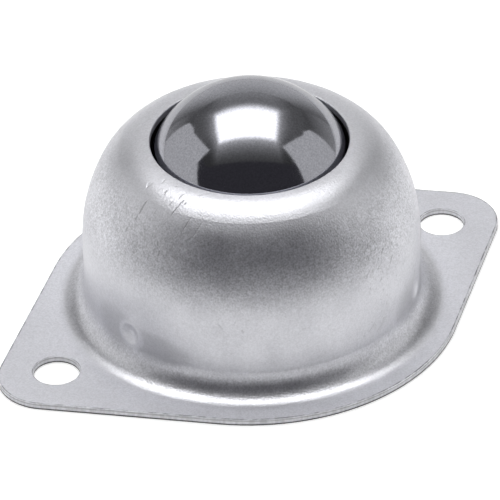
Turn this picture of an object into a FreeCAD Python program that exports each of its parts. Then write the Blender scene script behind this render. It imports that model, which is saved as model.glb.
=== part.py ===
import FreeCAD, Part
import math
import os

import Sketcher

# Ball transfer unit with a two-hole flange. Millimetres and degrees.
# The origin is on the underside of the flange, below the ball. +X runs through the right
# mounting hole, +Z points up out of the mouth.

SIZES = {
    "ball_diameter": 25.4,
    "support_ball_diameter": 3.175,
    "bed_top_angle": 78.2,          # of the highest row of support balls, from straight down
    "bed_row_gap": 0.05,            # least free space between one row and the next
    "bed_ball_gap": 0.02,           # least free space between neighbours in a row
    "race_clearance": 0.05,         # on each side of a support ball
    "cup_wall": 1.5,
    "cup_floor_gap": 0.05,          # between the lowest point of the cup and the flange's underside
    "cup_seat_clearance": 0.05,     # between the cup's rim and the inside of the dome
    "sheet_thickness": 0.8,
    "cup_side_room": 2.125,         # between the cup and the dome's bore
    "wall_top_depth": 7.475,        # from the ball's centre down to where the straight wall ends
    "flank_radius": 20,             # the dome's first, flatter curve above the wall
    "flank_angle": 27.5,            # how far round that curve the shoulder begins
    "shoulder_radius": 9.7,
    "crown_angle": 50,              # how far round the dome the crown begins, which levels out at the mouth
    "crown_radius": 6,
    "mouth_overlap": 0.8,           # how far the mouth reaches in over the ball
    "mouth_edge_radius": 0.15,
    "foot_radius": 3.2,
    "flange_length": 69.85,
    "flange_width": 50.6,
    "ear_radius": 6.1,
    "hole_spacing": 55.56,
    "hole_diameter": 5.56,
    "edge_roll": 0.15,              # soft upper edge that blanking and piercing leave
    "stake_count": 3,
    "stake_azimuth": 192,
    "stake_height": 5.6,
    "stake_width": 2.8,
    "stake_depth": 0.35,
    "stake_edge_radius": 0.6,
    "ring_thickness": 0.8,
    "ring_wall_clearance": 0.1,
    "ring_stake_clearance": 0.05,
    "ring_lip_angle": 52,
    "ring_lip_length": 2.4,
    "ring_bend_radius": 0.4,        # inside the bend
    "ring_cup_clearance": 0.03,
}

# Lengths that follow from the sizes above, each written once and used by every piece it touches.
WORKED = {
    "ball_radius": "Sizes.ball_diameter / 2",
    "support_ball_radius": "Sizes.support_ball_diameter / 2",
    "race_radius": "ball_radius + Sizes.support_ball_diameter + 2 * Sizes.race_clearance",
    "cup_radius": "race_radius + Sizes.cup_wall",
    "ball_height": "Sizes.cup_floor_gap + cup_radius",
    "bore_radius": "cup_radius + Sizes.cup_side_room",
    "dome_radius": "bore_radius + Sizes.sheet_thickness",
    "wall_top_height": "ball_height - Sizes.wall_top_depth",
    "flank_centre": "dome_radius - Sizes.flank_radius",
    "flank_inner_radius": "Sizes.flank_radius - Sizes.sheet_thickness",
    "shoulder_centre": "flank_centre + (Sizes.flank_radius - Sizes.shoulder_radius) * cos(Sizes.flank_angle)",
    "shoulder_height": "wall_top_height"
                       " + (Sizes.flank_radius - Sizes.shoulder_radius) * sin(Sizes.flank_angle)",
    "shoulder_inner_radius": "Sizes.shoulder_radius - Sizes.sheet_thickness",
    "crown_centre": "shoulder_centre"
                    " + (Sizes.shoulder_radius - Sizes.crown_radius) * cos(Sizes.crown_angle)",
    "crown_height": "shoulder_height"
                    " + (Sizes.shoulder_radius - Sizes.crown_radius) * sin(Sizes.crown_angle)",
    "crown_inner_radius": "Sizes.crown_radius - Sizes.sheet_thickness",
    "mouth_radius": "ball_radius - Sizes.mouth_overlap",
    "foot_ring_radius": "dome_radius + Sizes.foot_radius",
    "foot_inner_radius": "Sizes.foot_radius + Sizes.sheet_thickness",
    "ear_centre": "Sizes.flange_length / 2 - Sizes.ear_radius",
    "sheet_radius": "Sizes.flange_length / 2 + Sizes.ear_radius",
    "trim_radius": "sheet_radius + Sizes.ear_radius",
    "cup_rim_height": "wall_top_height + sqrt((flank_inner_radius - Sizes.cup_seat_clearance) ^ 2"
                      " - (cup_radius - flank_centre) ^ 2)",
    "bed_radius": "ball_radius + Sizes.race_clearance + support_ball_radius",
    "least_row_pitch": "2 * asin((support_ball_radius + Sizes.bed_row_gap / 2) / bed_radius)",
    "bed_steps": "floor(Sizes.bed_top_angle * 1 deg / least_row_pitch)",
    "row_pitch": "Sizes.bed_top_angle * 1 deg / bed_steps",
    "punch_radius": "((Sizes.stake_width / 2) ^ 2 + Sizes.stake_depth ^ 2) / (2 * Sizes.stake_depth)",
    "punch_centre": "dome_radius - Sizes.stake_depth + punch_radius",
    "bump_radius": "punch_radius + Sizes.sheet_thickness",
    "bump_root": "dome_radius - Sizes.sheet_thickness / 2",
    "bump_half_width": "sqrt(bump_radius ^ 2 - (punch_centre - bump_root) ^ 2)",
    "ring_radius": "bore_radius - Sizes.ring_wall_clearance",
    "ring_height": "Sizes.stake_height + Sizes.ring_stake_clearance"
                   " + sqrt(bump_radius ^ 2 - (punch_centre - ring_radius) ^ 2)",
    "ring_top_height": "ring_height + Sizes.ring_thickness",
    "ring_seat_radius": "cup_radius + Sizes.ring_cup_clearance",
    "ring_knee_radius": "(ring_seat_radius + (ring_top_height - ball_height) * cos(Sizes.ring_lip_angle))"
                        " / sin(Sizes.ring_lip_angle)",
    "ring_outer_bend": "Sizes.ring_bend_radius + Sizes.ring_thickness",
    "ring_bend_centre": "ring_knee_radius + ring_outer_bend * tan(Sizes.ring_lip_angle / 2)",
}

# In this many rows, counted from the floor of the cup, each support ball is a piece of its own.
# The balls of a higher row are one group.
SINGLE_PIECE_ROWS = 4

doc = FreeCAD.newDocument("ball_transfer_unit")


def make_sheet(name, cells):
    """A sheet with one labelled and aliased cell for each entry."""
    sheet = doc.addObject("Spreadsheet::Sheet", name)
    for row, (alias, content) in enumerate(cells.items(), start=1):
        sheet.set(f"A{row}", alias.replace("_", " "))
        sheet.set(f"B{row}", content)
        sheet.setAlias(f"B{row}", alias)
    return sheet


sizes = make_sheet("Sizes", {alias: str(value) for alias, value in SIZES.items()})
worked = make_sheet("Worked", {alias: f"={formula}" for alias, formula in WORKED.items()})
doc.recompute()

LEVEL_TOLERANCE = 1e-4
RIM_SAMPLES = 9
VOLUME_TOLERANCE = 1e-6

# How a sketch numbers the points of a line or arc, and its own two axes
START, END, CENTRE = range(1, 4)
X_AXIS, Y_AXIS = range(-1, -3, -1)
ORIGIN = (X_AXIS, START)


def value(formula):
    """The present value of a formula as a plain number, in millimetres or degrees."""
    result = sizes.evalExpression(formula)
    return float(getattr(result, "Value", result))


def find_origin_feature(body, role):
    """One of the body's own origin planes or axes."""
    return next(feature for feature in body.Origin.OriginFeatures if feature.Role == role)


class Drawing:
    """A sketch on one of its body's origin planes, with its dimensions bound to the sheets."""

    def __init__(self, body, name, plane_role):
        self.sketch = body.newObject("Sketcher::SketchObject", name)
        self.sketch.AttachmentSupport = [(find_origin_feature(body, plane_role), "")]
        self.sketch.MapMode = "FlatFace"

    def line(self, first, last):
        segment = Part.LineSegment(FreeCAD.Vector(*first, 0), FreeCAD.Vector(*last, 0))
        return self.sketch.addGeometry(segment)

    def circle(self, centre, radius):
        circle = Part.Circle(FreeCAD.Vector(*centre, 0), FreeCAD.Vector(0, 0, 1), radius)
        return self.sketch.addGeometry(circle)

    def arc(self, centre, radius, first_deg, last_deg):
        """A counter-clockwise arc."""
        circle = Part.Circle(FreeCAD.Vector(*centre, 0), FreeCAD.Vector(0, 0, 1), radius)
        arc = Part.ArcOfCircle(circle, math.radians(first_deg), math.radians(last_deg))
        return self.sketch.addGeometry(arc)

    def rule(self, kind, *places):
        self.sketch.addConstraint(Sketcher.Constraint(kind, *places))

    def size(self, name, formula, kind, *places):
        """A dimension that follows a formula."""
        index = self.sketch.addConstraint(Sketcher.Constraint(kind, *places, value(formula)))
        self.sketch.renameConstraint(index, name)
        self.sketch.setExpression(f"Constraints.{name}", formula)

    def join(self, *pairs):
        for first, first_end, second, second_end in pairs:
            self.rule("Coincident", first, first_end, second, second_end)


def make_body(label):
    body = doc.addObject("PartDesign::Body", label)
    body.Label = label
    return body


def revolve(body, name, drawing, kind="PartDesign::Revolution", axis="V_Axis"):
    feature = body.newObject(kind, name)
    feature.Profile = drawing.sketch
    feature.ReferenceAxis = (drawing.sketch, [axis])
    feature.Angle = 360
    return feature


def draw_flange_outline(body):
    """Two ear arcs and two middle arcs joined by tangent lines, inside a circle round all the sheet."""
    ear_x, ear_r = value("Worked.ear_centre"), value("Sizes.ear_radius")
    middle_r = value("Sizes.flange_width / 2")
    lean = math.degrees(math.acos((middle_r - ear_r) / ear_x))

    def at(centre_x, radius, angle_deg):
        angle = math.radians(angle_deg)
        return (centre_x + radius * math.cos(angle), radius * math.sin(angle))

    drawing = Drawing(body, "flange_outline", "XY_Plane")
    right_ear = drawing.arc((ear_x, 0), ear_r, -lean, lean)
    back_right = drawing.line(at(ear_x, ear_r, lean), at(0, middle_r, lean))
    back_middle = drawing.arc((0, 0), middle_r, lean, 180 - lean)
    back_left = drawing.line(at(0, middle_r, 180 - lean), at(-ear_x, ear_r, 180 - lean))
    left_ear = drawing.arc((-ear_x, 0), ear_r, 180 - lean, 180 + lean)
    front_left = drawing.line(at(-ear_x, ear_r, 180 + lean), at(0, middle_r, 180 + lean))
    front_middle = drawing.arc((0, 0), middle_r, 180 + lean, 360 - lean)
    front_right = drawing.line(at(0, middle_r, 360 - lean), at(ear_x, ear_r, 360 - lean))
    loop = [right_ear, back_right, back_middle, back_left, left_ear, front_left, front_middle, front_right]
    for first, second in zip(loop, loop[1:] + loop[:1]):
        drawing.rule("Tangent", first, END, second, START)
    for middle in (back_middle, front_middle):
        drawing.rule("Coincident", middle, CENTRE, *ORIGIN)
    for ear in (right_ear, left_ear):
        drawing.rule("PointOnObject", ear, CENTRE, X_AXIS)
    drawing.rule("Equal", right_ear, left_ear)
    drawing.rule("Equal", back_middle, front_middle)
    drawing.size("ear_radius", "Sizes.ear_radius", "Radius", right_ear)
    drawing.size("middle_radius", "Sizes.flange_width / 2", "Radius", back_middle)
    drawing.size("right_ear_x", "Worked.ear_centre", "DistanceX", *ORIGIN, right_ear, CENTRE)
    drawing.size("left_ear_x", "Worked.ear_centre", "DistanceX", left_ear, CENTRE, *ORIGIN)
    around = drawing.circle((0, 0), value("Worked.trim_radius"))
    drawing.rule("Coincident", around, CENTRE, *ORIGIN)
    drawing.size("trim_radius", "Worked.trim_radius", "Radius", around)
    return drawing


def draw_shell_section(body):
    """The drawn sheet's section from its rim up the foot, wall, flank, shoulder and crown to the mouth."""
    wall_r, bore_r = value("Worked.dome_radius"), value("Worked.bore_radius")
    foot_r, foot_inner_r = value("Sizes.foot_radius"), value("Worked.foot_inner_radius")
    foot_centre = (value("Worked.foot_ring_radius"), foot_inner_r)
    sheet_r, thick = value("Worked.sheet_radius"), value("Sizes.sheet_thickness")
    flank_centre = (value("Worked.flank_centre"), value("Worked.wall_top_height"))
    flank_r, flank_inner_r = value("Sizes.flank_radius"), value("Worked.flank_inner_radius")
    flank_deg = value("Sizes.flank_angle")
    shoulder_centre = (value("Worked.shoulder_centre"), value("Worked.shoulder_height"))
    shoulder_r, shoulder_inner_r = value("Sizes.shoulder_radius"), value("Worked.shoulder_inner_radius")
    crown_centre = (value("Worked.crown_centre"), value("Worked.crown_height"))
    crown_r, crown_inner_r = value("Sizes.crown_radius"), value("Worked.crown_inner_radius")
    crown_deg = value("Sizes.crown_angle")
    mouth_r, lip_r = value("Worked.mouth_radius"), value("Sizes.mouth_edge_radius")
    lip_deg = math.degrees(math.acos((mouth_r + lip_r - crown_centre[0]) / (crown_r - lip_r)))
    lip_z = crown_centre[1] + (crown_r - lip_r) * math.sin(math.radians(lip_deg))
    inner_end_deg = math.degrees(math.acos((mouth_r - crown_centre[0]) / crown_inner_r))
    mouth_bottom_z = crown_centre[1] + crown_inner_r * math.sin(math.radians(inner_end_deg))

    drawing = Drawing(body, "shell_section", "XZ_Plane")
    foot = drawing.arc(foot_centre, foot_r, 180, 270)
    wall = drawing.line((wall_r, foot_centre[1]), (wall_r, flank_centre[1]))
    flank = drawing.arc(flank_centre, flank_r, 0, flank_deg)
    shoulder = drawing.arc(shoulder_centre, shoulder_r, flank_deg, crown_deg)
    crown = drawing.arc(crown_centre, crown_r, crown_deg, lip_deg)
    lip = drawing.arc((mouth_r + lip_r, lip_z), lip_r, lip_deg, 180)
    mouth = drawing.line((mouth_r, lip_z), (mouth_r, mouth_bottom_z))
    crown_inner = drawing.arc(crown_centre, crown_inner_r, crown_deg, inner_end_deg)
    shoulder_inner = drawing.arc(shoulder_centre, shoulder_inner_r, flank_deg, crown_deg)
    flank_inner = drawing.arc(flank_centre, flank_inner_r, 0, flank_deg)
    bore = drawing.line((bore_r, flank_centre[1]), (bore_r, foot_centre[1]))
    foot_inner = drawing.arc(foot_centre, foot_inner_r, 180, 270)
    underside = drawing.line((foot_centre[0], 0), (sheet_r, 0))
    rim = drawing.line((sheet_r, 0), (sheet_r, thick))
    top = drawing.line((sheet_r, thick), (foot_centre[0], thick))
    drawing.join((foot, START, wall, START), (wall, END, flank, START), (lip, END, mouth, START),
                 (mouth, END, crown_inner, END), (flank_inner, START, bore, START),
                 (bore, END, foot_inner, START), (foot_inner, END, underside, START),
                 (underside, END, rim, START), (rim, END, top, START), (top, END, foot, END),
                 (foot, CENTRE, foot_inner, CENTRE), (flank, CENTRE, flank_inner, CENTRE),
                 (shoulder, CENTRE, shoulder_inner, CENTRE), (crown, CENTRE, crown_inner, CENTRE))
    for lower, upper in ((flank, shoulder), (flank_inner, shoulder_inner), (shoulder, crown),
                         (shoulder_inner, crown_inner), (crown, lip)):
        drawing.rule("Tangent", lower, END, upper, START)
    for upright in (wall, mouth, rim):
        drawing.rule("Vertical", upright)
    for flat in (underside, top):
        drawing.rule("Horizontal", flat)
    for arc in (foot, foot_inner, flank, flank_inner):
        drawing.rule("Horizontal", arc, CENTRE, arc, START)
    for arc in (foot, foot_inner):
        drawing.rule("Vertical", arc, CENTRE, arc, END)
    drawing.rule("Horizontal", lip, CENTRE, lip, END)
    drawing.rule("PointOnObject", foot_inner, END, X_AXIS)
    drawing.size("sheet_radius", "Worked.sheet_radius", "DistanceX", *ORIGIN, rim, START)
    drawing.size("dome_radius", "Worked.dome_radius", "DistanceX", *ORIGIN, wall, START)
    drawing.size("foot_radius", "Sizes.foot_radius", "Radius", foot)
    drawing.size("foot_inner_radius", "Worked.foot_inner_radius", "Radius", foot_inner)
    drawing.size("flank_radius", "Sizes.flank_radius", "Radius", flank)
    drawing.size("flank_inner_radius", "Worked.flank_inner_radius", "Radius", flank_inner)
    drawing.size("wall_top_height", "Worked.wall_top_height", "DistanceY", *ORIGIN, flank, CENTRE)
    drawing.size("shoulder_radius", "Sizes.shoulder_radius", "Radius", shoulder)
    drawing.size("shoulder_height", "Worked.shoulder_height", "DistanceY", *ORIGIN, shoulder, CENTRE)
    drawing.size("crown_radius", "Sizes.crown_radius", "Radius", crown)
    drawing.size("crown_height", "Worked.crown_height", "DistanceY", *ORIGIN, crown, CENTRE)
    drawing.size("mouth_edge_radius", "Sizes.mouth_edge_radius", "Radius", lip)
    drawing.size("mouth_radius", "Worked.mouth_radius", "DistanceX", *ORIGIN, mouth, START)
    return drawing


def draw_mounting_holes(body):
    drawing = Drawing(body, "mounting_holes_sketch", "XY_Plane")
    offset, radius = value("Sizes.hole_spacing / 2"), value("Sizes.hole_diameter / 2")
    right, left = drawing.circle((offset, 0), radius), drawing.circle((-offset, 0), radius)
    for hole in (right, left):
        drawing.rule("PointOnObject", hole, CENTRE, X_AXIS)
    drawing.rule("Equal", right, left)
    drawing.size("hole_diameter", "Sizes.hole_diameter", "Diameter", right)
    drawing.size("right_hole_x", "Sizes.hole_spacing / 2", "DistanceX", *ORIGIN, right, CENTRE)
    drawing.size("left_hole_x", "Sizes.hole_spacing / 2", "DistanceX", left, CENTRE, *ORIGIN)
    return drawing


def place_at_stake(drawing):
    """Turns an upright sketch to the first stake, with its X axis along the punch's stroke."""
    sketch = drawing.sketch
    sketch.AttachmentOffset = FreeCAD.Placement(
        FreeCAD.Vector(0, value("Sizes.stake_height"), 0),
        FreeCAD.Rotation(FreeCAD.Vector(0, 1, 0), value("Sizes.stake_azimuth")))
    sketch.setExpression("AttachmentOffset.Base.y", "Sizes.stake_height")
    sketch.setExpression("AttachmentOffset.Rotation.Angle", "Sizes.stake_azimuth")


def draw_stake_bump(body):
    """Half the section of the sheet that the punch pushes in, from its root in the wall to its tip."""
    centre_x, radius = value("Worked.punch_centre"), value("Worked.bump_radius")
    root_x, half_width = value("Worked.bump_root"), value("Worked.bump_half_width")
    root_deg = math.degrees(math.atan2(half_width, root_x - centre_x))
    drawing = Drawing(body, "stake_bump_section", "XZ_Plane")
    place_at_stake(drawing)
    tip = drawing.arc((centre_x, 0), radius, root_deg, 180)
    stroke = drawing.line((centre_x - radius, 0), (root_x, 0))
    root = drawing.line((root_x, 0), (root_x, half_width))
    drawing.join((tip, END, stroke, START), (stroke, END, root, START), (root, END, tip, START))
    drawing.rule("PointOnObject", tip, CENTRE, X_AXIS)
    drawing.rule("PointOnObject", stroke, START, X_AXIS)
    drawing.rule("PointOnObject", stroke, END, X_AXIS)
    drawing.rule("Vertical", root)
    drawing.size("bump_radius", "Worked.bump_radius", "Radius", tip)
    drawing.size("punch_centre", "Worked.punch_centre", "DistanceX", *ORIGIN, tip, CENTRE)
    drawing.size("bump_root", "Worked.bump_root", "DistanceX", *ORIGIN, root, START)
    return drawing


def draw_punch_tip(body):
    """Half the section of the round punch that dents the wall from outside."""
    centre_x, radius = value("Worked.punch_centre"), value("Worked.punch_radius")
    drawing = Drawing(body, "stake_punch_section", "XZ_Plane")
    place_at_stake(drawing)
    tip = drawing.arc((centre_x, 0), radius, 0, 180)
    stroke = drawing.line((centre_x - radius, 0), (centre_x + radius, 0))
    drawing.join((tip, END, stroke, START), (stroke, END, tip, START))
    drawing.rule("PointOnObject", tip, CENTRE, X_AXIS)
    drawing.rule("PointOnObject", tip, START, X_AXIS)
    drawing.rule("PointOnObject", tip, END, X_AXIS)
    drawing.size("punch_radius", "Worked.punch_radius", "Radius", tip)
    drawing.size("punch_centre", "Worked.punch_centre", "DistanceX", *ORIGIN, tip, CENTRE)
    return drawing


def check_volume(before, after, grows):
    """Stops when a feature added or removed nothing."""
    change = after.Shape.Volume - before.Shape.Volume
    if (change > 0) != grows or abs(change) < VOLUME_TOLERANCE:
        raise RuntimeError(f"{after.Name} changed the volume by {change}")


def cut_through(body, name, before, drawing):
    """Cuts a sketch of the underside upwards through the whole body."""
    pocket = body.newObject("PartDesign::Pocket", name)
    pocket.Profile = drawing.sketch
    pocket.Type = "ThroughAll"
    pocket.Reversed = True
    doc.recompute()
    check_volume(before, pocket, grows=False)
    return pocket


def find_edges(shape, wanted):
    """Names of the edges that a test accepts."""
    return [f"Edge{index}" for index, edge in enumerate(shape.Edges, start=1) if wanted(edge)]


def round_edges(body, name, wanted, formula):
    """Fillets the edges that the test accepts, with the radius that the formula gives."""
    base = body.Tip
    fillet = body.newObject("PartDesign::Fillet", name)
    fillet.Base = (base, find_edges(base.Shape, wanted))
    fillet.setExpression("Radius", formula)
    doc.recompute()
    check_volume(base, fillet, grows=False)


def is_level(edge, height):
    box = edge.BoundBox
    return max(abs(box.ZMin - height), abs(box.ZMax - height)) < LEVEL_TOLERANCE


def is_flange_top_edge(edge):
    """The blanked outline and the pierced holes, on the flange's upper face."""
    on_foot = isinstance(edge.Curve, Part.Circle) and (
        abs(edge.Curve.Radius - value("Worked.foot_ring_radius")) < LEVEL_TOLERANCE)
    return is_level(edge, value("Sizes.sheet_thickness")) and not on_foot


def is_stake_rim(edge):
    """The outer border of a dimple in the wall."""
    if not edge.isClosed() or edge.BoundBox.ZLength < value("Sizes.stake_depth"):
        return False
    return all(abs(math.hypot(point.x, point.y) - value("Worked.dome_radius")) < LEVEL_TOLERANCE
               for point in edge.discretize(RIM_SAMPLES))


def make_housing():
    """The stamped shell: a sheet drawn into a dome, trimmed to the flange, pierced and staked."""
    body = make_body("housing")
    sheet = revolve(body, "drawn_sheet", draw_shell_section(body))
    doc.recompute()
    flange = cut_through(body, "trimmed_flange", sheet, draw_flange_outline(body))
    cut_through(body, "mounting_holes", flange, draw_mounting_holes(body))
    round_edges(body, "edge_roll", is_flange_top_edge, "Sizes.edge_roll")

    plain_shell = body.Tip
    bump = revolve(body, "stake_bump", draw_stake_bump(body), axis="H_Axis")
    doc.recompute()
    check_volume(plain_shell, bump, grows=True)
    dimple = revolve(body, "stake_dimple", draw_punch_tip(body), "PartDesign::Groove", "H_Axis")
    doc.recompute()
    check_volume(bump, dimple, grows=False)
    stakes = body.newObject("PartDesign::PolarPattern", "stakes")
    stakes.Originals = [bump, dimple]
    stakes.Axis = (find_origin_feature(body, "Z_Axis"), [""])
    stakes.Angle = 360
    stakes.setExpression("Occurrences", "Sizes.stake_count")
    body.Tip = stakes
    doc.recompute()
    round_edges(body, "stake_rims", is_stake_rim, "Sizes.stake_edge_radius")
    return body


def make_load_ball():
    ball = doc.addObject("Part::Sphere", "load_ball")
    ball.setExpression("Radius", "Worked.ball_radius")
    ball.setExpression("Placement.Base.z", "Worked.ball_height")
    return ball


def make_bearing_cup():
    """A half sphere with a short straight rim that reaches up to the dome's shoulder."""
    outer_r, inner_r = value("Worked.cup_radius"), value("Worked.race_radius")
    centre_z, rim_z = value("Worked.ball_height"), value("Worked.cup_rim_height")
    body = make_body("bearing_cup")
    drawing = Drawing(body, "cup_section", "XZ_Plane")
    outside = drawing.arc((0, centre_z), outer_r, 270, 360)
    wall = drawing.line((outer_r, centre_z), (outer_r, rim_z))
    rim = drawing.line((outer_r, rim_z), (inner_r, rim_z))
    bore = drawing.line((inner_r, rim_z), (inner_r, centre_z))
    race = drawing.arc((0, centre_z), inner_r, 270, 360)
    floor = drawing.line((0, centre_z - inner_r), (0, centre_z - outer_r))
    drawing.join((outside, END, wall, START), (wall, END, rim, START), (rim, END, bore, START),
                 (bore, END, race, END), (race, START, floor, START), (floor, END, outside, START),
                 (outside, CENTRE, race, CENTRE))
    drawing.rule("PointOnObject", outside, CENTRE, Y_AXIS)
    for arc in (outside, race):
        drawing.rule("Horizontal", arc, CENTRE, arc, END)
        drawing.rule("PointOnObject", arc, START, Y_AXIS)
    for upright in (wall, bore):
        drawing.rule("Vertical", upright)
    drawing.rule("Horizontal", rim)
    drawing.size("cup_radius", "Worked.cup_radius", "Radius", outside)
    drawing.size("race_radius", "Worked.race_radius", "Radius", race)
    drawing.size("ball_height", "Worked.ball_height", "DistanceY", *ORIGIN, outside, CENTRE)
    drawing.size("cup_rim_height", "Worked.cup_rim_height", "DistanceY", *ORIGIN, wall, END)
    revolve(body, "cup_shell", drawing)
    return body


def make_retaining_ring():
    """A flat ring on the stakes, with a lip bent down along the outside of the cup."""
    angle = value("Sizes.ring_lip_angle")
    lean = math.radians(angle)
    thick, length = value("Sizes.ring_thickness"), value("Sizes.ring_lip_length")
    edge_r, knee_r = value("Worked.ring_radius"), value("Worked.ring_knee_radius")
    low, high = value("Worked.ring_height"), value("Worked.ring_top_height")
    inner_bend, outer_bend = value("Sizes.ring_bend_radius"), value("Worked.ring_outer_bend")
    bend_centre = (value("Worked.ring_bend_centre"), high - outer_bend)

    def on_bend(radius):
        """Where the bend runs into the lip."""
        return (bend_centre[0] - radius * math.sin(lean), bend_centre[1] + radius * math.cos(lean))

    tip = (knee_r - length * math.cos(lean), high - length * math.sin(lean))
    under_tip = (tip[0] + thick * math.sin(lean), tip[1] - thick * math.cos(lean))
    body = make_body("retaining_ring")
    drawing = Drawing(body, "ring_section", "XZ_Plane")
    top = drawing.line((edge_r, high), (bend_centre[0], high))
    bend = drawing.arc(bend_centre, outer_bend, 90, 90 + angle)
    lip = drawing.line(on_bend(outer_bend), tip)
    lip_end = drawing.line(tip, under_tip)
    lip_under = drawing.line(under_tip, on_bend(inner_bend))
    bend_under = drawing.arc(bend_centre, inner_bend, 90, 90 + angle)
    seat = drawing.line((bend_centre[0], low), (edge_r, low))
    edge = drawing.line((edge_r, low), (edge_r, high))
    drawing.join((lip, END, lip_end, START), (lip_end, END, lip_under, START), (seat, END, edge, START),
                 (edge, END, top, START), (bend, CENTRE, bend_under, CENTRE))
    for first, first_end, second, second_end in [
            (top, END, bend, START), (bend, END, lip, START),
            (lip_under, END, bend_under, END), (bend_under, START, seat, START)]:
        drawing.rule("Tangent", first, first_end, second, second_end)
    drawing.rule("Horizontal", top)
    drawing.rule("Vertical", edge)
    drawing.rule("Perpendicular", lip, lip_end)
    drawing.size("ring_radius", "Worked.ring_radius", "DistanceX", *ORIGIN, edge, START)
    drawing.size("ring_top_height", "Worked.ring_top_height", "DistanceY", *ORIGIN, edge, END)
    drawing.size("outer_bend", "Worked.ring_outer_bend", "Radius", bend)
    drawing.size("inner_bend", "Sizes.ring_bend_radius", "Radius", bend_under)
    drawing.size("ring_bend_centre", "Worked.ring_bend_centre", "DistanceX", *ORIGIN, bend, CENTRE)
    drawing.size("lip_drop", "Sizes.ring_lip_length * sin(Sizes.ring_lip_angle)", "DistanceY",
                 lip, END, edge, END)
    drawing.size("lip_reach", "Worked.ring_radius - Worked.ring_knee_radius"
                 " + Sizes.ring_lip_length * cos(Sizes.ring_lip_angle)", "DistanceX", lip, END, edge, END)
    revolve(body, "ring_shell", drawing)
    return body


def make_support_ball(row, number, count, label):
    """One ball of the bed, at its place in its row round the load ball's underside."""
    ball = doc.addObject("Part::Sphere", label)
    polar = f"{row} * Worked.row_pitch"
    azimuth = f"{(number + row / 2) / count * 360}"
    ball.setExpression("Radius", "Worked.support_ball_radius")
    ball.setExpression("Placement.Base.x", f"Worked.bed_radius * sin({polar}) * cos({azimuth})")
    ball.setExpression("Placement.Base.y", f"Worked.bed_radius * sin({polar}) * sin({azimuth})")
    ball.setExpression("Placement.Base.z", f"Worked.ball_height - Worked.bed_radius * cos({polar})")
    return ball


def count_in_row(row):
    """How many balls fit side by side in a row."""
    if row == 0:
        return 1
    ring_radius = value("Worked.bed_radius") * math.sin(math.radians(row * value("Worked.row_pitch")))
    half_pitch = value("Worked.support_ball_radius + Sizes.bed_ball_gap / 2")
    return math.floor(math.pi / math.asin(half_pitch / ring_radius))


def make_ball_bed():
    """Rows of support balls from the floor of the cup upwards."""
    pieces = []
    for row in range(int(value("Worked.bed_steps")) + 1):
        count = count_in_row(row)
        balls = [make_support_ball(row, number, count, f"support_ball_row{row}_{number + 1:02d}")
                 for number in range(count)]
        if row < SINGLE_PIECE_ROWS:
            pieces += balls
        else:
            group = doc.addObject("Part::Compound", f"support_balls_row{row}")
            group.Links = balls
            pieces.append(group)
    return pieces


def check_document():
    doc.recompute()
    for thing in doc.Objects:
        if {"Invalid", "Error"} & set(thing.State):
            raise RuntimeError(f"{thing.Name} is {thing.State}")


def write_pieces(pieces):
    os.makedirs("parts", exist_ok=True)
    for piece in pieces:
        if piece.Shape.isNull() or not piece.Shape.isValid():
            raise RuntimeError(f"{piece.Label} has no valid shape")
        piece.Shape.exportStep(f"parts/{piece.Label}.step")


sub_parts = [make_housing(), make_load_ball(), make_bearing_cup(), make_retaining_ring(), *make_ball_bed()]
check_document()
write_pieces(sub_parts)
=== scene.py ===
import math

import bpy
from mathutils import Matrix, Vector


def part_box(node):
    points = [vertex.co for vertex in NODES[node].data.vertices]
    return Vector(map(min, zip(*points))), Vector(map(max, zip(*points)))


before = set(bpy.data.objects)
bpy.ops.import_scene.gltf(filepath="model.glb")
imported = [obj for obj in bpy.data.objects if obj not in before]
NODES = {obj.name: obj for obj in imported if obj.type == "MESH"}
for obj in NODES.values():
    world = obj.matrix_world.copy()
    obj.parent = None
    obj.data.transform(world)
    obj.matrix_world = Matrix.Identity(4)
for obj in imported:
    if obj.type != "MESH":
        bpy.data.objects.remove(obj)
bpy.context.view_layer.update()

BALL_LOW, BALL_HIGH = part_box("load_ball")
BALL_CENTRE = (BALL_LOW + BALL_HIGH) / 2

# Camera, fitted to the outlines in the photograph. Azimuths count from the object's -Y side.

IMAGE_SIZE_PX = 500
SENSOR_MM = 36
FOCAL_PX = 4761.5
CAMERA_AZIMUTH = -31.733
CAMERA_ELEVATION = 35.043
CAMERA_ROLL = -1.304
CAMERA_DISTANCE = 0.5756
CAMERA_AIM = Vector((-0.00021, 0.00013, 0.00744))

# Studio. A place in it is to the camera's right, towards the camera, and up, from the ball's centre.

FLOOR_HALF = 3.0
FLOOR_COLOUR = (0.8, 0.8, 0.8, 1)
FLOOR_GLOW = 0.4

# The overhead card. Its places are in heights of the card, to the right or towards the camera.
# A change along it is given by two places and the light at each.
SOFTBOX_HEIGHT = 0.9
SOFTBOX_LIGHT = 2.5
SOFTBOX_SPAN = (-1.3, 1.25)
SOFTBOX_REACH = (-1.5, 0.7)
CORE_LEFT, CORE_RIGHT, CORE_BACK, CORE_FRONT = -0.57, 0.47, -0.56, 0.13
CORE_EDGE = 0.08
CORE_FADE_BEHIND = 0.35
HALO_LIGHT = 0.95
HALO_FALL = 0.004
HALO_PACE_BESIDE, HALO_PACE_BEHIND = 1.7, 1.5
CEILING_GLOW = (-0.2, 0.3, 0.17, 0.06)
FAR_GLOW = (-1.3, -0.6, 0.27, 0)
FAR_GLOW_SIDES = (0.3, 0.9, 1, 0)

PANEL_LIGHT = 0.8
PANELS = {
    "left_panel": ((-0.80, 0.20, 0.5), (-1.59, -1.35, 0.0), (-1.59, -1.35, 1.0), (-0.80, 0.20, 1.0)),
    "left_low_card": ((-0.80, 0.62, 0.0), (-1.55, -1.25, 0.0), (-1.55, -1.25, 0.6), (-0.80, 0.19, 0.52)),
    "right_panel": ((0.675, 0.355, 0.0), (1.537, -0.80, 0.0), (1.537, -0.80, 1.0), (0.594, 0.21, 1.0)),
}

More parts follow.
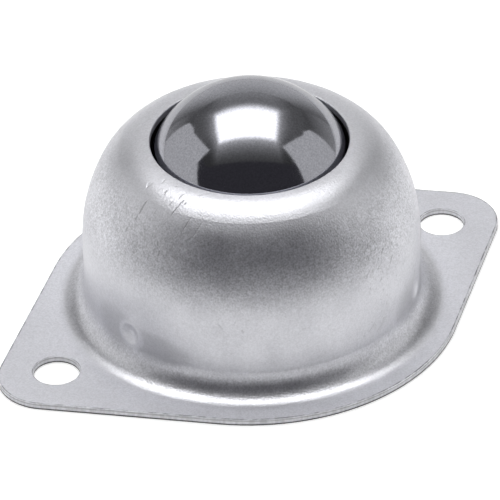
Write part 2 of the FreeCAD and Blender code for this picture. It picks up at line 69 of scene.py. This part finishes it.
BACKDROP_DISTANCE = 1.5
BACKDROP_HALF_WIDTH = 1.3
BACKDROP_HEIGHT = 1.35
BACKDROP_RISE = (0, 1, 1.0, 0.35)
BACKDROP_SIDES = (0, 0.35, 0.3, 1)

DARK_CARD_LIGHT = 0.06
DARK_CARD_COLOUR = (0.93, 0.9, 1.05, 1)
DARK_CARD_RADIUS = 1.6
DARK_CARD_INNER_RADIUS = 0.09
DARK_CARD_LIFT = Vector((0, 0, 0.0005))
DARK_CARD_TOP = 75
DARK_CARD_COLUMNS = 36
DARK_CARD_ROWS = 18

WORLD_RISE = (0.0, 0.45, 0.6, 0.18)

# Finishes. Lengths are in millimetres, and the scales of noises in cells per metre.
# A tuple of four is two limits and the two results that they are mapped to.

MM_PER_METRE = 1000
SHEET_THICKNESS = 0.8
DOME_HEIGHT = 23.64
WALL_RADIUS = 20.2
MIDDLE_RADIUS, EAR_RADIUS, EAR_CENTRE = 25.3, 6.1, 28.825
HOLE_PLACE, HOLE_RADIUS = 27.78, 2.78

ZINC_COLOUR = (0.655, 0.657, 0.69)
# The dark colour of the rim dashes and scratch wear, also used for the painted shade round the stakes
WORN_AND_SHADE_COLOUR = (0.1, 0.1, 0.11, 1)
GRAIN_SCALE, MOTTLE_SCALE, CLOUD_SCALE = 4600, 1900, 260
GRAIN_TONE = (0.25, 0.75, -1, 1)
MOTTLE_TONE = (0.25, 0.75, -0.5, 0.5)
# Painted light: the flange's top is made up to 1.2 times brighter near the dome and 1.1 times further out.
FLANGE_TOP = (0.8, 0.95)                 # the heights over which its tone ends
FLANGE_PAINTED_LIGHT = (24.5, 28, 1.2, 1.1)         # by the distance from the dome's axis
SATIN_ROUGHNESS = (0.3, 0.7, 0.37, 0.46)
DRAWN_SMOOTH = (1.6, 2.6, 0.75, 1.0)     # by height, over the foot's fillet
FROST_ROUGHNESS = 0.75
FROST_SHARE = (0.3, 0.7, 0.12, 0.24)
FLANGE_FROST = (0.8, 0.88, 0.55, 0)
RELIEF_DISTANCE = 0.00003
SCRATCH_RELIEF = -2.2
# How far the stakes' painted shade and the scratches' wear draw the zinc towards the dark colour
STAKE_SHADE_DEPTH, SCRATCH_WEAR = 0.2, 0.3

# The depth of the grain, at shares of the dome's height
GRAIN_DEPTH = ((0.0, 0.06), (0.034, 0.06), (0.05, 0.16), (0.12, 0.16), (0.18, 0.07), (0.5, 0.08),
               (0.7, 0.25), (0.86, 0.22), (0.94, 0.08))

# Scratches. The scraped place and its reach are in metres.
SCRAPED_PLACE = (-0.0153, -0.0051, 0.0204)
SCRAPED_REACH = (0.003, 0.006, 1, 0)
SCRATCH_DIRECTIONS = ((0.718, 0.116, 0.68), (-0.25, 0.6, 0.7))
SCRATCH_SCALE, SCRATCH_STRETCH = 2200, 9
SCRATCH_LIMITS = (0.66, 0.72, 0, 1)
SCRATCH_HEIGHT = (1.5, 4, 0, 1)
PATCH_SCALE = 70
PATCH_LIMITS = (0.56, 0.7, 0, 0.7)

# Rims of the flange's top
EDGE_ROLL = 0.06
RIM_WIDTH = (0.08, 0.2, 1, 0)
RIM_HEIGHT = (0.82, 0.86, 1, 0)
RIM_SCALE = 900
RIM_DASHES = (0.42, 0.6, 0.15, 0.7)

# Sheared walls. Their bands of dark and bright stand at shares of the sheet's thickness. The dark band at
# the foot is painted shadow, and the bright band at the top is a painted highlight on the roll-over; the
# bands between are the wall's own.
# Partly painted light: a pale colour that lifts the sheared wall out of its shade
SHEARED_COLOUR = (0.85, 0.85, 0.88, 1)
CUT_BANDS_AND_PAINTED_LIGHT = ((0.0, 0.06), (0.16, 0.12), (0.24, 0.75), (0.5, 0.85), (0.64, 0.8), (0.72, 0.6),
             (0.8, 0.6), (0.9, 1.0))
CUT_LEAN = (0.8, 0.9, 1, 0)
CUT_HEIGHT = (0.8, 0.83, 1, 0)
TEAR_SCALE, TEAR_STRETCH = 2500, 3
TEAR_TONE = (0.35, 0.65, 0.88, 1.04)

# Stakes. Round each, a dark reflection is painted onto the wall as shade, and the dimple's spot is left
# unshaded. An oval is its middle and half width round the wall, its middle and half height, and its blur.
STAKE_COUNT = 3
STAKE_AZIMUTH = 192
STAKE_PAINTED_SHADE = ((3.9, 4.4, 5.2, 1.9, 0.6), (-2.6, 3.2, 5.4, 2.6, 0.9))
STAKE_UNSHADED_SPOT = (0.2, 2.0, 5.6, 1.9, 0.4)

BALL_COLOUR, BALL_ROUGHNESS, BALL_EDGE = (0.375, 0.378, 0.412), 0.09, 0.7
SUPPORT_BALL_COLOUR, SUPPORT_BALL_ROUGHNESS = (0.6, 0.603, 0.64), 0.12
HAZE_SCALE, SPECKLE_SCALE = 900, 4500
HAZE_SPREAD = 0.3
SPECKLE_TONE = (0.3, 0.7, 0.88, 1.12)
HEAT_SCALE = 500
HEAT_TINT = (0.35, 0.65, 0.0, 1.0)
HEAT_COLOURS = ((0.16, 0.155, 0.15, 1), (0.28, 0.265, 0.25, 1))
HEAT_ROUGHNESS = (0.3, 0.7, 0.3, 0.5)


def toward(azimuth_deg, elevation_deg):
    """A unit vector from the object towards an azimuth and an elevation."""
    azimuth, elevation = math.radians(azimuth_deg), math.radians(elevation_deg)
    flat = math.cos(elevation)
    return Vector((math.sin(azimuth) * flat, -math.cos(azimuth) * flat, math.sin(elevation)))


def place(thing, name):
    """A new object in the scene with a mesh or a camera."""
    made = bpy.data.objects.new(name, thing)
    bpy.context.scene.collection.objects.link(made)
    return made


def add_camera():
    """A long lens from the front left, a little above the mouth."""
    back = toward(CAMERA_AZIMUTH, CAMERA_ELEVATION)
    right = toward(CAMERA_AZIMUTH + 90, 0)
    up = back.cross(right)
    roll = math.radians(CAMERA_ROLL)
    turned_right = right * math.cos(roll) + up * math.sin(roll)
    turned_up = back.cross(turned_right)
    data = bpy.data.cameras.new("camera")
    data.sensor_width = SENSOR_MM
    data.lens = FOCAL_PX / IMAGE_SIZE_PX * SENSOR_MM
    camera = place(data, "camera")
    turn = Matrix((turned_right, turned_up, back)).transposed().to_4x4()
    camera.matrix_world = Matrix.Translation(CAMERA_AIM + back * CAMERA_DISTANCE) @ turn
    bpy.context.scene.camera = camera


# Shader helpers

def add_node(tree, kind, inputs=None, **settings):
    made = tree.nodes.new(kind)
    for name, setting in settings.items():
        setattr(made, name, setting)
    for name, content in (inputs or {}).items():
        feed(tree, made.inputs[name], content)
    return made


def feed(tree, socket, content):
    """Links another node's output to a socket, or sets the socket's own value."""
    if isinstance(content, bpy.types.NodeSocket):
        tree.links.new(content, socket)
    else:
        socket.default_value = content


def new_material(name):
    material = bpy.data.materials.new(name)
    material.use_nodes = True
    material.node_tree.nodes.clear()
    return material, material.node_tree


def finish_material(tree, surface):
    add_node(tree, "ShaderNodeOutputMaterial", {"Surface": surface})


def object_place(tree):
    return add_node(tree, "ShaderNodeTexCoord").outputs["Object"]


def split(tree, vector):
    """The three parts of a vector."""
    parts = add_node(tree, "ShaderNodeSeparateXYZ", {"Vector": vector}).outputs
    return parts["X"], parts["Y"], parts["Z"]


def scaled(tree, vector, factor):
    made = add_node(tree, "ShaderNodeVectorMath", {"Vector": vector, "Scale": factor}, operation="SCALE")
    return made.outputs["Vector"]


def noise(tree, where, scale, detail=2.0):
    """A noise between 0 and 1. The scale is in cells per metre."""
    inputs = {"Vector": where, "Scale": scale, "Detail": detail}
    return add_node(tree, "ShaderNodeTexNoise", inputs).outputs["Fac"]


def streaks(tree, where, direction, scale, stretch):
    """A noise drawn out along a direction."""
    turn = Vector((0, 0, 1)).rotation_difference(Vector(direction)).to_euler()
    drawn_out = add_node(tree, "ShaderNodeMapping", {
        "Vector": where, "Rotation": turn, "Scale": (1, 1, stretch)}, vector_type="TEXTURE")
    return noise(tree, drawn_out.outputs["Vector"], scale, detail=1)


def remap(tree, factor, low, high, low_result, high_result, smooth=False):
    """Maps a factor between two limits onto two results, and holds it there beyond them."""
    inputs = {"Value": factor, "From Min": low, "From Max": high,
              "To Min": low_result, "To Max": high_result}
    kind = "SMOOTHSTEP" if smooth else "LINEAR"
    return add_node(tree, "ShaderNodeMapRange", inputs, interpolation_type=kind).outputs["Result"]


def ramp(tree, factor, stops):
    """A level for each factor, given as pairs of factor and level."""
    made = add_node(tree, "ShaderNodeValToRGB", {"Fac": factor})
    elements = made.color_ramp.elements
    while len(elements) < len(stops):
        elements.new(0.5)
    for element, (position, level) in zip(elements, stops):
        element.position = position
        element.color = (level, level, level, 1)
    return made.outputs["Color"]


def calculate(tree, operation, *terms):
    """A maths node on one or two terms, or a chain of them on more."""
    made = add_node(tree, "ShaderNodeMath", operation=operation)
    for socket, term in zip(made.inputs, terms):
        feed(tree, socket, term)
    result = made.outputs["Value"]
    return calculate(tree, operation, result, *terms[2:]) if len(terms) > 2 else result


def distance(tree, first, second):
    """The length of a flat vector."""
    squares = [calculate(tree, "MULTIPLY", each, each) for each in (first, second)]
    return calculate(tree, "SQRT", calculate(tree, "ADD", *squares))


def mix_colours(tree, factor, first, second):
    made = add_node(tree, "ShaderNodeMix", data_type="RGBA")
    factor_socket, first_socket, second_socket = made.inputs[0], made.inputs[6], made.inputs[7]
    for socket, content in ((factor_socket, factor), (first_socket, first), (second_socket, second)):
        feed(tree, socket, content)
    return made.outputs[2]


def combine_shaders(tree, kind, *contents):
    made = add_node(tree, kind)
    for socket, content in zip(made.inputs, contents):
        feed(tree, socket, content)
    return made.outputs[0]


# Studio

def studio_point(side, front, height):
    right, forward = toward(CAMERA_AZIMUTH + 90, 0), toward(CAMERA_AZIMUTH, 0)
    return BALL_CENTRE + right * side + forward * front + Vector((0, 0, height))


def add_floor():
    """White paper that keeps the object's shadow, and is white to camera and mirror rays."""
    mesh = bpy.data.meshes.new("floor")
    corners = [(-FLOOR_HALF, -FLOOR_HALF, 0), (FLOOR_HALF, -FLOOR_HALF, 0),
               (FLOOR_HALF, FLOOR_HALF, 0), (-FLOOR_HALF, FLOOR_HALF, 0)]
    mesh.from_pydata(corners, [], [(0, 1, 2, 3)])
    floor = place(mesh, "floor")
    material, tree = new_material("floor_paper")
    rays = add_node(tree, "ShaderNodeLightPath").outputs
    seen = calculate(tree, "MAXIMUM", rays["Is Camera Ray"], rays["Is Glossy Ray"],
                     rays["Is Transmission Ray"])
    paper = add_node(tree, "ShaderNodeBsdfDiffuse", {"Color": FLOOR_COLOUR})
    lift = add_node(tree, "ShaderNodeEmission", {"Strength": calculate(tree, "MULTIPLY", seen, FLOOR_GLOW)})
    finish_material(tree, combine_shaders(tree, "ShaderNodeAddShader", paper.outputs[0], lift.outputs[0]))
    mesh.materials.append(material)


def add_card(name, corners):
    """A card through four corners that only the object sees. Its UV map runs from the first corner."""
    mesh = bpy.data.meshes.new(name)
    mesh.from_pydata(corners, [], [(0, 1, 2, 3)])
    layer = mesh.uv_layers.new(name="across")
    for loop, place_on_card in zip(layer.data, ((0, 0), (1, 0), (1, 1), (0, 1))):
        loop.uv = place_on_card
    card = place(mesh, name)
    card.visible_camera = False
    material, tree = new_material(name)
    mesh.materials.append(material)
    return tree


def across_card(tree):
    """The two places on a card, each from 0 to 1."""
    return split(tree, add_node(tree, "ShaderNodeUVMap", uv_map="across").outputs["UV"])[:2]


def glow(tree, strength, colour=(1, 1, 1, 1)):
    shader = add_node(tree, "ShaderNodeEmission", {"Color": colour, "Strength": strength})
    finish_material(tree, shader.outputs[0])


def add_softbox():
    """The main light: a soft-edged rectangle overhead with a faint glow round it."""
    (left, right), (back, front) = SOFTBOX_SPAN, SOFTBOX_REACH
    corners = [studio_point(side * SOFTBOX_HEIGHT, reach * SOFTBOX_HEIGHT, SOFTBOX_HEIGHT)
               for side, reach in ((left, back), (right, back), (right, front), (left, front))]
    tree = add_card("overhead_softbox", corners)
    along, deep = across_card(tree)
    side, reach = remap(tree, along, 0, 1, left, right), remap(tree, deep, 0, 1, back, front)
    beside = calculate(tree, "MAXIMUM", calculate(tree, "SUBTRACT", CORE_LEFT, side),
                       calculate(tree, "SUBTRACT", side, CORE_RIGHT))
    before = calculate(tree, "SUBTRACT", reach, CORE_FRONT)
    behind = calculate(tree, "SUBTRACT", CORE_BACK, reach)
    beyond = calculate(tree, "MAXIMUM", beside, before,
                       calculate(tree, "MULTIPLY", behind, CORE_FADE_BEHIND))
    core = remap(tree, beyond, -CORE_EDGE, CORE_EDGE, SOFTBOX_LIGHT, 0, smooth=True)
    outward = calculate(tree, "MAXIMUM", calculate(tree, "MULTIPLY", beside, HALO_PACE_BESIDE), before,
                        calculate(tree, "MULTIPLY", behind, HALO_PACE_BEHIND), 0.0)
    halo = calculate(tree, "MULTIPLY", calculate(tree, "POWER", HALO_FALL, outward), HALO_LIGHT)
    ceiling = remap(tree, reach, *CEILING_GLOW)
    far = calculate(tree, "MULTIPLY", remap(tree, reach, *FAR_GLOW),
                    remap(tree, calculate(tree, "ABSOLUTE", side), *FAR_GLOW_SIDES, smooth=True))
    glow(tree, calculate(tree, "ADD", core, halo, ceiling, far))


def add_panels():
    """Grey cards left and right that stand open towards the back."""
    for name, corners in PANELS.items():
        tree = add_card(name, [studio_point(*corner) for corner in corners])
        glow(tree, PANEL_LIGHT)


def add_backdrop():
    """The paper behind the object, which darkens upwards and to the sides."""
    left, right, top = -BACKDROP_HALF_WIDTH, BACKDROP_HALF_WIDTH, BACKDROP_HEIGHT
    corners = [(left, 0.0), (right, 0.0), (right, top), (left, top)]
    tree = add_card("backdrop", [
        studio_point(side, -BACKDROP_DISTANCE, height) for side, height in corners])
    along, up = across_card(tree)
    inward = remap(tree, calculate(tree, "PINGPONG", along, 0.5), *BACKDROP_SIDES, smooth=True)
    glow(tree, calculate(tree, "MULTIPLY", remap(tree, up, *BACKDROP_RISE), inward))


def add_dark_card():
    """The dark side of the studio round the camera, which only the object's reflections see.

    It is a part of a sphere over a flat half ring that lies just over the floor.
    """
    mesh = bpy.data.meshes.new("dark_card")
    rows = [(0, DARK_CARD_INNER_RADIUS)]
    rows += [(DARK_CARD_TOP * row / DARK_CARD_ROWS, DARK_CARD_RADIUS) for row in range(DARK_CARD_ROWS + 1)]
    columns = DARK_CARD_COLUMNS + 1
    azimuths = [CAMERA_AZIMUTH - 90 + 180 * column / DARK_CARD_COLUMNS for column in range(columns)]
    points = [toward(azimuth, elevation) * radius + DARK_CARD_LIFT
              for elevation, radius in rows for azimuth in azimuths]
    faces = [(first, first + 1, first + columns + 1, first + columns)
             for first in range(len(points) - columns) if (first + 1) % columns]
    mesh.from_pydata(points, [], faces)
    card = place(mesh, "dark_card")
    material, tree = new_material("dark_card")
    glow(tree, DARK_CARD_LIGHT, DARK_CARD_COLOUR)
    mesh.materials.append(material)
    card.visible_camera = False
    card.visible_diffuse = False
    card.visible_shadow = False


def set_world():
    """Grey, a little paler at the horizon."""
    world = bpy.data.worlds.new("studio")
    world.use_nodes = True
    bpy.context.scene.world = world
    tree = world.node_tree
    tree.nodes.clear()
    height = split(tree, add_node(tree, "ShaderNodeTexCoord").outputs["Generated"])[2]
    background = add_node(tree, "ShaderNodeBackground", {"Strength": remap(tree, height, *WORLD_RISE)})
    add_node(tree, "ShaderNodeOutputWorld", {"Surface": background.outputs[0]})


# Finishes

def find_scratches(tree, where, height):
    """Short fine scratches in two directions, in patches on the dome and in one scraped place."""
    scraped = add_node(tree, "ShaderNodeVectorMath", {0: where, 1: SCRAPED_PLACE}, operation="DISTANCE")
    scraped = remap(tree, scraped.outputs["Value"], *SCRAPED_REACH)
    patches = remap(tree, noise(tree, where, PATCH_SCALE, detail=1), *PATCH_LIMITS)
    along, across = [
        remap(tree, streaks(tree, where, direction, SCRATCH_SCALE, SCRATCH_STRETCH), *SCRATCH_LIMITS)
        for direction in SCRATCH_DIRECTIONS]
    along = calculate(tree, "MULTIPLY", along, calculate(tree, "ADD", patches, scraped))
    across = calculate(tree, "MULTIPLY", across, patches)
    return calculate(tree, "MULTIPLY", calculate(tree, "MAXIMUM", across, along),
                     remap(tree, height, *SCRATCH_HEIGHT))


def find_rim_distance(tree, along, across):
    """How far a place on the flange is from its outline or from a hole, whichever is nearer."""
    side, depth = calculate(tree, "ABSOLUTE", along), calculate(tree, "ABSOLUTE", across)
    lean = (MIDDLE_RADIUS - EAR_RADIUS) / EAR_CENTRE
    run = math.sqrt(1 - lean * lean)
    on_line = calculate(tree, "SUBTRACT", calculate(tree, "MULTIPLY", side, run),
                        calculate(tree, "MULTIPLY", depth, lean))
    centre = remap(tree, on_line, 0, EAR_CENTRE * run, 0, EAR_CENTRE)
    radius = remap(tree, on_line, 0, EAR_CENTRE * run, MIDDLE_RADIUS, EAR_RADIUS)
    from_outline = calculate(tree, "SUBTRACT", radius, distance(
        tree, calculate(tree, "SUBTRACT", side, centre), depth))
    from_hole = calculate(tree, "SUBTRACT", distance(
        tree, calculate(tree, "SUBTRACT", side, HOLE_PLACE), depth), HOLE_RADIUS)
    return calculate(tree, "MINIMUM", calculate(tree, "SUBTRACT", from_outline, EDGE_ROLL), from_hole)


def find_rims(tree, where, along, across, height):
    """Dark dashes on the flange's top, beside its outline and its holes."""
    near = remap(tree, find_rim_distance(tree, along, across), *RIM_WIDTH)
    dashes = remap(tree, noise(tree, where, RIM_SCALE), *RIM_DASHES)
    return calculate(tree, "MULTIPLY", near, remap(tree, height, *RIM_HEIGHT), dashes)


def find_stake_painted_shade(tree, along, across, height):
    """A painted dark reflection on the wall round each stake, with the dimple's spot left unshaded."""
    azimuth = calculate(tree, "ARCTAN2", across, along)
    step = math.radians(360 / STAKE_COUNT)
    turned = calculate(tree, "SUBTRACT", azimuth, math.radians(STAKE_AZIMUTH) - step / 2)
    arc = calculate(tree, "MULTIPLY", calculate(tree, "SUBTRACT", calculate(
        tree, "FLOORED_MODULO", turned, step), step / 2), WALL_RADIUS)

    def oval(middle, half_width, middle_height, half_height, blur):
        wide = calculate(tree, "DIVIDE", calculate(tree, "SUBTRACT", arc, middle), half_width)
        high = calculate(tree, "DIVIDE", calculate(tree, "SUBTRACT", height, middle_height), half_height)
        off = calculate(tree, "ADD", calculate(tree, "MULTIPLY", wide, wide),
                        calculate(tree, "MULTIPLY", high, high))
        return remap(tree, off, 1 - blur, 1 + blur, 1, 0, smooth=True)

    patch = calculate(tree, "MAXIMUM", *[oval(*each) for each in STAKE_PAINTED_SHADE])
    return calculate(tree, "MULTIPLY", patch, calculate(tree, "SUBTRACT", 1, oval(*STAKE_UNSHADED_SPOT)))


def find_cut_edge(tree, height):
    """Where the sheet was sheared: the walls of the outline and of the holes."""
    normal = add_node(tree, "ShaderNodeTexCoord").outputs["Normal"]
    lean = calculate(tree, "ABSOLUTE", split(tree, normal)[2])
    return calculate(tree, "MULTIPLY", remap(tree, lean, *CUT_LEAN), remap(tree, height, *CUT_HEIGHT))


def find_plating(tree, where, grain, from_axis, height):
    """The zinc's colour: its own mottle, deeper or fainter by height, and painted light that brightens the
    flange's top, most near the dome.
    """
    mottle = calculate(tree, "ADD", remap(tree, grain, *GRAIN_TONE),
                       remap(tree, noise(tree, where, MOTTLE_SCALE), *MOTTLE_TONE))
    depth = ramp(tree, calculate(tree, "DIVIDE", height, DOME_HEIGHT), GRAIN_DEPTH)
    # Painted light on the flange's top, brightest near the dome
    painted_flange_light = remap(tree, height, *FLANGE_TOP, remap(tree, from_axis, *FLANGE_PAINTED_LIGHT), 1.0)
    speckled = calculate(tree, "ADD", calculate(tree, "MULTIPLY", mottle, depth), 1)
    return scaled(tree, ZINC_COLOUR, calculate(tree, "MULTIPLY", speckled, painted_flange_light))


def find_sheared_colour_and_painted_light(tree, where, height):
    """The bands and fine upright tears of a sheared wall, with painted shadow at its foot and a painted
    highlight at its top.
    """
    bands_and_painted_light = ramp(tree, calculate(tree, "DIVIDE", height, SHEET_THICKNESS), CUT_BANDS_AND_PAINTED_LIGHT)
    banded_with_painted_light = mix_colours(tree, bands_and_painted_light, (0.0, 0.0, 0.0, 1), SHEARED_COLOUR)
    tears = remap(tree, streaks(tree, where, (0, 0, 1), TEAR_SCALE, TEAR_STRETCH), *TEAR_TONE)
    return scaled(tree, banded_with_painted_light, tears)


def make_zinc():
    """Zinc plating on pressed steel: satin, finely mottled, scratched, and darker where it was sheared,
    with painted light on the flange's top, painted shade round the stakes, and painted shadow and highlight
    on the sheared walls.
    """
    material, tree = new_material("zinc_plating")
    where = object_place(tree)
    along, across, height = split(tree, scaled(tree, where, MM_PER_METRE))
    grain = noise(tree, where, GRAIN_SCALE, detail=1)
    cloud = noise(tree, where, CLOUD_SCALE, detail=4)
    scratches = find_scratches(tree, where, height)
    # Painted shade: a dark reflection painted round each stake
    stake_shade = find_stake_painted_shade(tree, along, across, height)
    # Rim dashes and scratch wear, with the stakes' painted shade
    wear_and_shade = calculate(tree, "MAXIMUM", find_rims(tree, where, along, across, height),
                     calculate(tree, "MULTIPLY", stake_shade, STAKE_SHADE_DEPTH),
                     calculate(tree, "MULTIPLY", scratches, SCRATCH_WEAR))
    plating = find_plating(tree, where, grain, distance(tree, along, across), height)
    worn_and_shaded = mix_colours(tree, wear_and_shade, plating, WORN_AND_SHADE_COLOUR)
    colour = mix_colours(tree, find_cut_edge(tree, height), worn_and_shaded, find_sheared_colour_and_painted_light(tree, where, height))
    relief = calculate(tree, "ADD", grain, calculate(tree, "MULTIPLY", scratches, SCRATCH_RELIEF))
    bump = add_node(tree, "ShaderNodeBump", {
        "Strength": 1.0, "Distance": RELIEF_DISTANCE, "Height": relief})
    satin, frost = [
        add_node(tree, "ShaderNodeBsdfPrincipled", {
            "Metallic": 1.0, "Base Color": colour, "Normal": bump.outputs["Normal"],
            "Roughness": roughness}).outputs[0]
        for roughness in (
            calculate(tree, "MULTIPLY", remap(tree, cloud, *SATIN_ROUGHNESS),
                      remap(tree, height, *DRAWN_SMOOTH)),
            FROST_ROUGHNESS)]
    share = calculate(tree, "ADD", remap(tree, cloud, *FROST_SHARE), remap(tree, height, *FLANGE_FROST))
    finish_material(tree, combine_shaders(tree, "ShaderNodeMixShader", share, satin, frost))
    return material


def make_polished_steel(name, colour, roughness, edge=1.0):
    """Bearing balls, a little hazy and finely speckled. The edge is the tint at grazing angles."""
    material, tree = new_material(name)
    where = object_place(tree)
    haze = noise(tree, where, HAZE_SCALE, detail=3)
    speckle = noise(tree, where, SPECKLE_SCALE, detail=1)
    shader = add_node(tree, "ShaderNodeBsdfPrincipled", {
        "Metallic": 1.0, "Base Color": scaled(tree, colour, remap(tree, speckle, *SPECKLE_TONE)),
        "Specular Tint": (edge, edge, edge, 1),
        "Roughness": remap(tree, haze, 0.3, 0.7, roughness * (1 - HAZE_SPREAD),
                           roughness * (1 + HAZE_SPREAD))})
    finish_material(tree, shader.outputs[0])
    return material


def make_hardened_steel():
    """Dark heat-treated steel with a faint uneven scale."""
    material, tree = new_material("hardened_steel")
    scale = noise(tree, object_place(tree), HEAT_SCALE, detail=5)
    shader = add_node(tree, "ShaderNodeBsdfPrincipled", {
        "Metallic": 1.0, "Base Color": mix_colours(tree, remap(tree, scale, *HEAT_TINT), *HEAT_COLOURS),
        "Roughness": remap(tree, scale, *HEAT_ROUGHNESS)})
    finish_material(tree, shader.outputs[0])
    return material


def dress(names, material):
    """Puts a material on all slots of CAD nodes."""
    for name in names:
        for slot in NODES[name].material_slots:
            slot.material = material


bpy.context.scene.view_settings.view_transform = "Standard"
add_camera()
set_world()
add_floor()
add_softbox()
add_panels()
add_backdrop()
add_dark_card()

dress(["housing", "retaining_ring"], make_zinc())
dress(["load_ball"], make_polished_steel("polished_ball_steel", BALL_COLOUR, BALL_ROUGHNESS, BALL_EDGE))
dress(["bearing_cup"], make_hardened_steel())
dress([name for name in NODES if name.startswith("support_ball")],
      make_polished_steel("support_ball_steel", SUPPORT_BALL_COLOUR, SUPPORT_BALL_ROUGHNESS))
